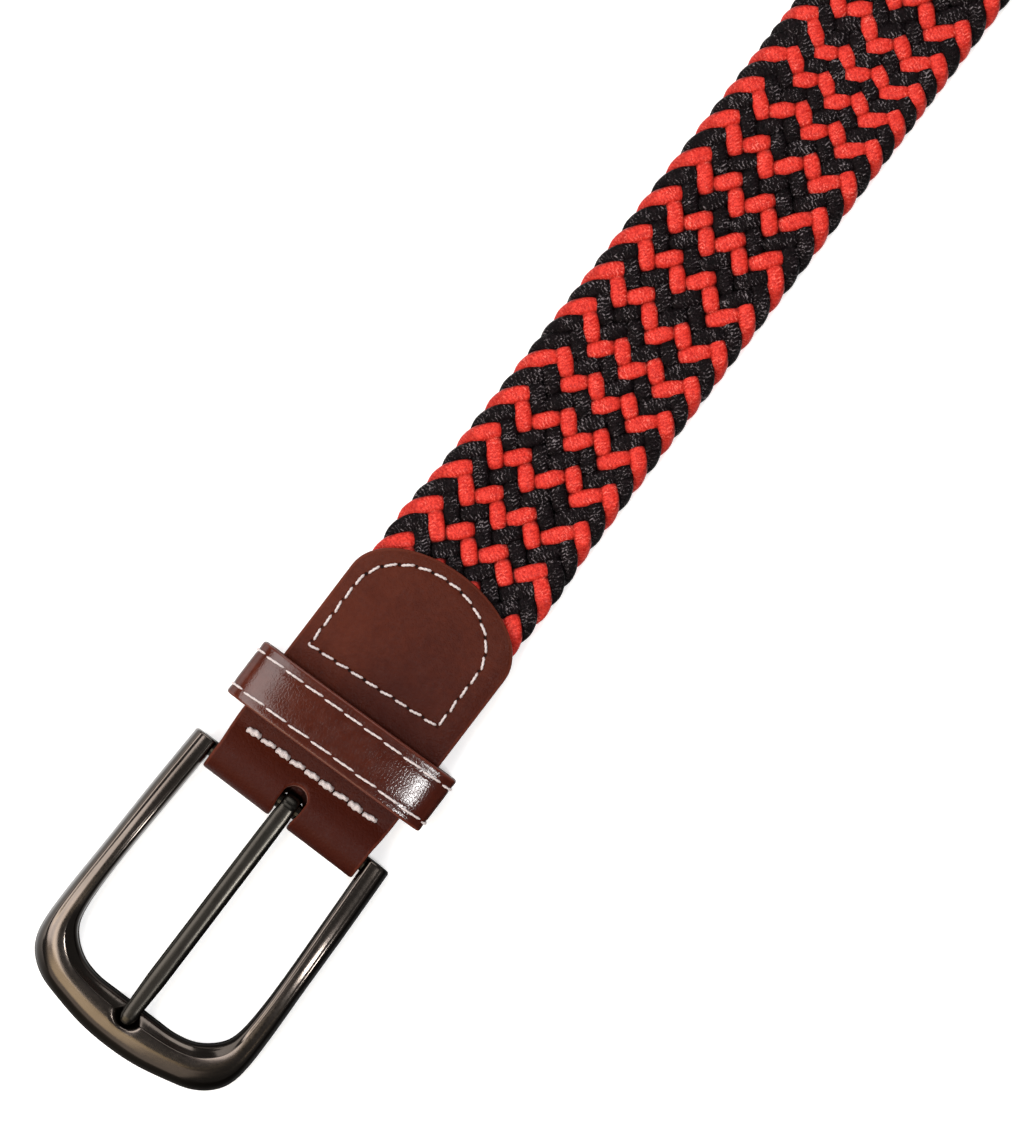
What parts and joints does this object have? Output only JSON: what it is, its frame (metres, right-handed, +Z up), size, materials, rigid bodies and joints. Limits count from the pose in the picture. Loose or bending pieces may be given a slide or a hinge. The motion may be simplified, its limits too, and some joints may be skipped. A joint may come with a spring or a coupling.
{
  "type": "braided belt with pin buckle",
  "caption": "Flat braided cord belt with a metal pin buckle, folded leather tab, keeper loop and leather tip, lying straight.",
  "frame": {"origin": "middle of the belt's box, on the surface that it lies on", "axes": "+X along the belt from the buckle to the tip, +Y across it, +Z up out of its front face"},
  "size_m": [1.05, 0.0476, 0.0125],
  "materials": {
    "gunmetal": "brushed gunmetal with a warm sheen",
    "brown_leather": "semi-gloss reddish brown with fine grain",
    "black_cord": "black braided cord with pale thread glints",
    "red_cord": "brick red braided cord",
    "stitch_thread": "waxed off-white thread"
  },
  "bodies": {
    "belt": {"leather_tab": "brown_leather", "keeper_loop": "brown_leather", "braided_band": "black_cord", "tip_front": "brown_leather", "tip_back": "brown_leather"},
    "buckle": {"buckle_frame": "gunmetal", "hinge_bar": "gunmetal"},
    "prong": {"prong": "gunmetal"}
  },
  "joints": [
    {"name": "buckle_swing", "type": "hinge", "parent": "belt", "child": "buckle", "pos_m": [-0.4681, 0, 0.0037], "axis": [0, 1, 0], "range_deg": [-90, 25]},
    {"name": "prong_lift", "type": "hinge", "parent": "buckle", "child": "prong", "pos_m": [-0.4681, 0, 0.0037], "axis": [0, 1, 0], "range_deg": [0, 80]}
  ]
}
